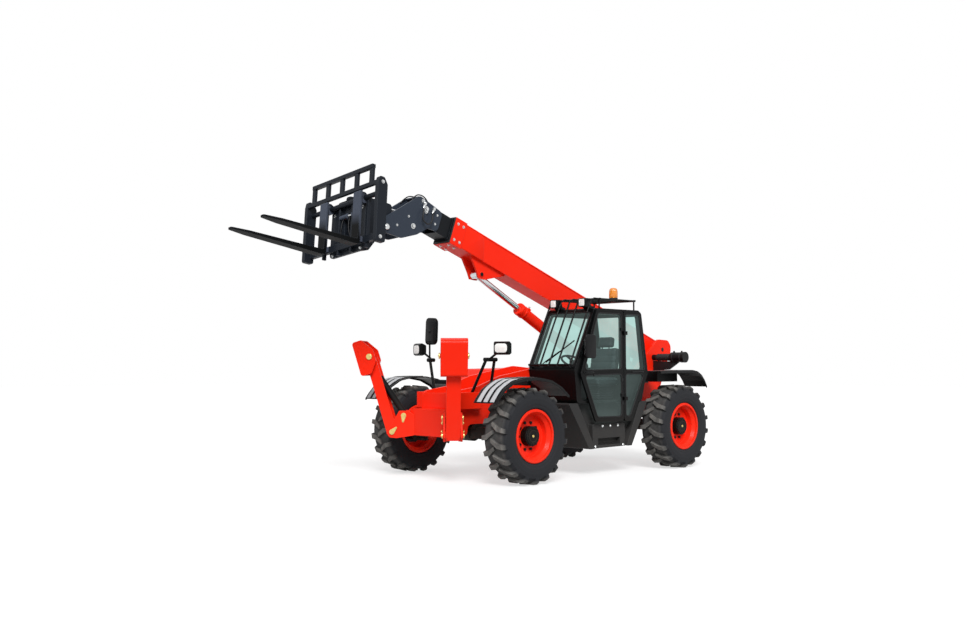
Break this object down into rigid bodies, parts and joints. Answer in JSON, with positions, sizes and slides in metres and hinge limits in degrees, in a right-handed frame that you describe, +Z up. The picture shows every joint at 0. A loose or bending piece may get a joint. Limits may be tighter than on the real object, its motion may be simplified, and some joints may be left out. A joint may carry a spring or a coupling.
{
  "type": "telehandler",
  "caption": "Four-wheel-steer telehandler with a side cab, a telescopic boom partly raised, pallet forks on a hinged carriage and folded swing-down front stands",
  "frame": {"origin": "centre of the overall box on the ground", "axes": "+X forward along the machine, +Y to its left (cab side), +Z up"},
  "size_m": [7.4842, 2.56, 3.7625],
  "materials": {
    "red_paint": "satin",
    "dark_paint": "satin",
    "cab_paint": "satin",
    "engine": "matte",
    "black_plastic": "matte",
    "tinted_glass": "clear",
    "amber": "gloss",
    "lamp_lens": "gloss",
    "seat_cover": "matte",
    "chrome_rod": "polished",
    "fork_steel": "satin",
    "tyre": "matte"
  },
  "bodies": {
    "chassis": {"chassis": "red_paint", "stand_beam": "red_paint", "counterweight": "dark_paint", "engine_hood": "red_paint", "engine_block": "engine", "front_axle": "dark_paint", "rear_axle": "dark_paint", "fenders": "black_plastic", "air_cleaner": "black_plastic", "cab_base": "dark_paint", "cab_frame": "cab_paint", "cab_glass": "tinted_glass", "cab_guard": "cab_paint", "beacon": "amber", "lamps": "lamp_lens", "lamp_stands": "black_plastic", "seat": "seat_cover", "console": "black_plastic"},
    "knuckle_fl": {"knuckle_fl": "dark_paint"},
    "wheel_fl": {"hub_fl": "dark_paint", "rim_fl": "red_paint", "tyre_fl": "tyre"},
    "knuckle_fr": {"knuckle_fr": "dark_paint"},
    "wheel_fr": {"hub_fr": "dark_paint", "rim_fr": "red_paint", "tyre_fr": "tyre"},
    "knuckle_rl": {"knuckle_rl": "dark_paint"},
    "wheel_rl": {"hub_rl": "dark_paint", "rim_rl": "red_paint", "tyre_rl": "tyre"},
    "knuckle_rr": {"knuckle_rr": "dark_paint"},
    "wheel_rr": {"hub_rr": "dark_paint", "rim_rr": "red_paint", "tyre_rr": "tyre"},
    "door": {"door": "cab_paint", "door_glass": "tinted_glass", "side_mirror": "black_plastic"},
    "boom_outer": {"boom_outer": "red_paint"},
    "boom_mid": {"boom_mid": "dark_paint"},
    "boom_inner": {"boom_inner": "dark_paint"},
    "lift_barrel": {"lift_barrel": "red_paint"},
    "lift_rod": {"lift_rod": "chrome_rod"},
    "tilt_barrel": {"tilt_barrel": "dark_paint"},
    "tilt_rod": {"tilt_rod": "chrome_rod"},
    "carriage": {"carriage": "dark_paint", "forks": "fork_steel"},
    "stand_arm_l": {"stand_arm_l": "red_paint"},
    "stand_pad_l": {"stand_pad_l": "red_paint"},
    "stand_barrel_l": {"stand_barrel_l": "dark_paint"},
    "stand_rod_l": {"stand_rod_l": "chrome_rod"},
    "stand_arm_r": {"stand_arm_r": "red_paint"},
    "stand_pad_r": {"stand_pad_r": "red_paint"},
    "stand_barrel_r": {"stand_barrel_r": "dark_paint"},
    "stand_rod_r": {"stand_rod_r": "chrome_rod"}
  },
  "joints": [
    {"name": "steer_fl", "type": "hinge", "parent": "chassis", "child": "knuckle_fl", "pos_m": [0.4378, 0.85, 0.59], "axis": [0, 0, 1], "range_deg": [-35, 35]},
    {"name": "spin_fl", "type": "hinge", "parent": "knuckle_fl", "child": "wheel_fl", "pos_m": [0.4378, 1.08, 0.59], "axis": [0, 1, 0], "continuous": true},
    {"name": "steer_fr", "type": "hinge", "parent": "chassis", "child": "knuckle_fr", "pos_m": [0.4378, -0.85, 0.59], "axis": [0, 0, 1], "range_deg": [-35, 35]},
    {"name": "spin_fr", "type": "hinge", "parent": "knuckle_fr", "child": "wheel_fr", "pos_m": [0.4378, -1.08, 0.59], "axis": [0, 1, 0], "continuous": true},
    {"name": "steer_rl", "type": "hinge", "parent": "chassis", "child": "knuckle_rl", "pos_m": [-2.6322, 0.85, 0.59], "axis": [0, 0, 1], "range_deg": [-35, 35]},
    {"name": "spin_rl", "type": "hinge", "parent": "knuckle_rl", "child": "wheel_rl", "pos_m": [-2.6322, 1.08, 0.59], "axis": [0, 1, 0], "continuous": true},
    {"name": "steer_rr", "type": "hinge", "parent": "chassis", "child": "knuckle_rr", "pos_m": [-2.6322, -0.85, 0.59], "axis": [0, 0, 1], "range_deg": [-35, 35]},
    {"name": "spin_rr", "type": "hinge", "parent": "knuckle_rr", "child": "wheel_rr", "pos_m": [-2.6322, -1.08, 0.59], "axis": [0, 1, 0], "continuous": true},
    {"name": "door_swing", "type": "hinge", "parent": "chassis", "child": "door", "pos_m": [-1.4022, 1.166, 1.5], "axis": [0, 0, 1], "range_deg": [0, 100]},
    {"name": "boom_lift", "type": "hinge", "parent": "chassis", "child": "boom_outer", "pos_m": [-3.5122, 0, 1.64], "axis": [0, -1, 0], "range_deg": [-20, 42]},
    {"name": "extend_mid", "type": "slide", "parent": "boom_outer", "child": "boom_mid", "axis": [0.9415, 0, 0.3371], "range_m": [0, 3.4]},
    {"name": "extend_inner", "type": "slide", "parent": "boom_mid", "child": "boom_inner", "axis": [0.9415, 0, 0.3371], "range_m": [0, 3.4]},
    {"name": "fork_tilt", "type": "hinge", "parent": "boom_inner", "child": "carriage", "pos_m": [1.86396, 0, 3.11883], "axis": [0, 1, 0], "range_deg": [-22, 80]},
    {"name": "lift_barrel_swing", "type": "hinge", "parent": "chassis", "child": "lift_barrel", "pos_m": [-3.1522, 0, 0.86], "axis": [0, -1, 0], "range_deg": [-19.54, 40.48]},
    {"name": "lift_rod_slide", "type": "slide", "parent": "lift_barrel", "child": "lift_rod", "axis": [0.8853, 0, 0.4651], "range_m": [-0.2877, 0.5988]},
    {"name": "tilt_barrel_swing", "type": "hinge", "parent": "boom_inner", "child": "tilt_barrel", "pos_m": [0.89923, 0, 3.26201], "axis": [0, 1, 0], "range_deg": [-2.04, 6.1]},
    {"name": "tilt_rod_slide", "type": "slide", "parent": "tilt_barrel", "child": "tilt_rod", "axis": [0.9939, 0, 0.1106], "range_m": [-0.0876, 0.3052]},
    {"name": "stand_swing_l", "type": "hinge", "parent": "chassis", "child": "stand_arm_l", "pos_m": [1.1678, 0.57, 0.6], "axis": [-0.766, 0.6428, 0], "range_deg": [0, 100]},
    {"name": "pad_tilt_l", "type": "hinge", "parent": "stand_arm_l", "child": "stand_pad_l", "pos_m": [1.35667, 0.79509, 1.56109], "axis": [0.766, -0.6428, 0], "range_deg": [0, 27]},
    {"name": "stand_barrel_swing_l", "type": "hinge", "parent": "chassis", "child": "stand_barrel_l", "pos_m": [1.07138, 0.45509, 0.81], "axis": [-0.766, 0.6428, 0], "range_deg": [-0.5, 89.5]},
    {"name": "stand_rod_slide_l", "type": "slide", "parent": "stand_barrel_l", "child": "stand_rod_l", "axis": [0.3656, 0.4358, 0.8224], "range_m": [-0.005, 0.4239]},
    {"name": "stand_swing_r", "type": "hinge", "parent": "chassis", "child": "stand_arm_r", "pos_m": [1.1678, -0.57, 0.6], "axis": [0.766, 0.6428, 0], "range_deg": [0, 100]},
    {"name": "pad_tilt_r", "type": "hinge", "parent": "stand_arm_r", "child": "stand_pad_r", "pos_m": [1.35667, -0.79509, 1.56109], "axis": [-0.766, -0.6428, 0], "range_deg": [0, 27]},
    {"name": "stand_barrel_swing_r", "type": "hinge", "parent": "chassis", "child": "stand_barrel_r", "pos_m": [1.07138, -0.45509, 0.81], "axis": [0.766, 0.6428, 0], "range_deg": [-0.5, 89.5]},
    {"name": "stand_rod_slide_r", "type": "slide", "parent": "stand_barrel_r", "child": "stand_rod_r", "axis": [0.3656, -0.4358, 0.8224], "range_m": [-0.005, 0.4239]}
  ],
  "couplings": [
    {"joint": "steer_fr", "follows": "steer_fl", "ratio": 1},
    {"joint": "steer_rr", "follows": "steer_rl", "ratio": 1},
    {"joint": "extend_inner", "follows": "extend_mid", "ratio": 1},
    {"joint": "lift_barrel_swing", "follows": "boom_lift", "ratio": 0.952},
    {"joint": "lift_rod_slide", "follows": "boom_lift", "m_per_rad": 0.81},
    {"joint": "tilt_barrel_swing", "follows": "fork_tilt", "ratio": 0.07},
    {"joint": "tilt_rod_slide", "follows": "fork_tilt", "m_per_rad": 0.215},
    {"joint": "stand_barrel_swing_l", "follows": "stand_swing_l", "ratio": 0.89},
    {"joint": "stand_rod_slide_l", "follows": "stand_swing_l", "m_per_rad": 0.24},
    {"joint": "stand_barrel_swing_r", "follows": "stand_swing_r", "ratio": 0.89},
    {"joint": "stand_rod_slide_r", "follows": "stand_swing_r", "m_per_rad": 0.24}
  ]
}
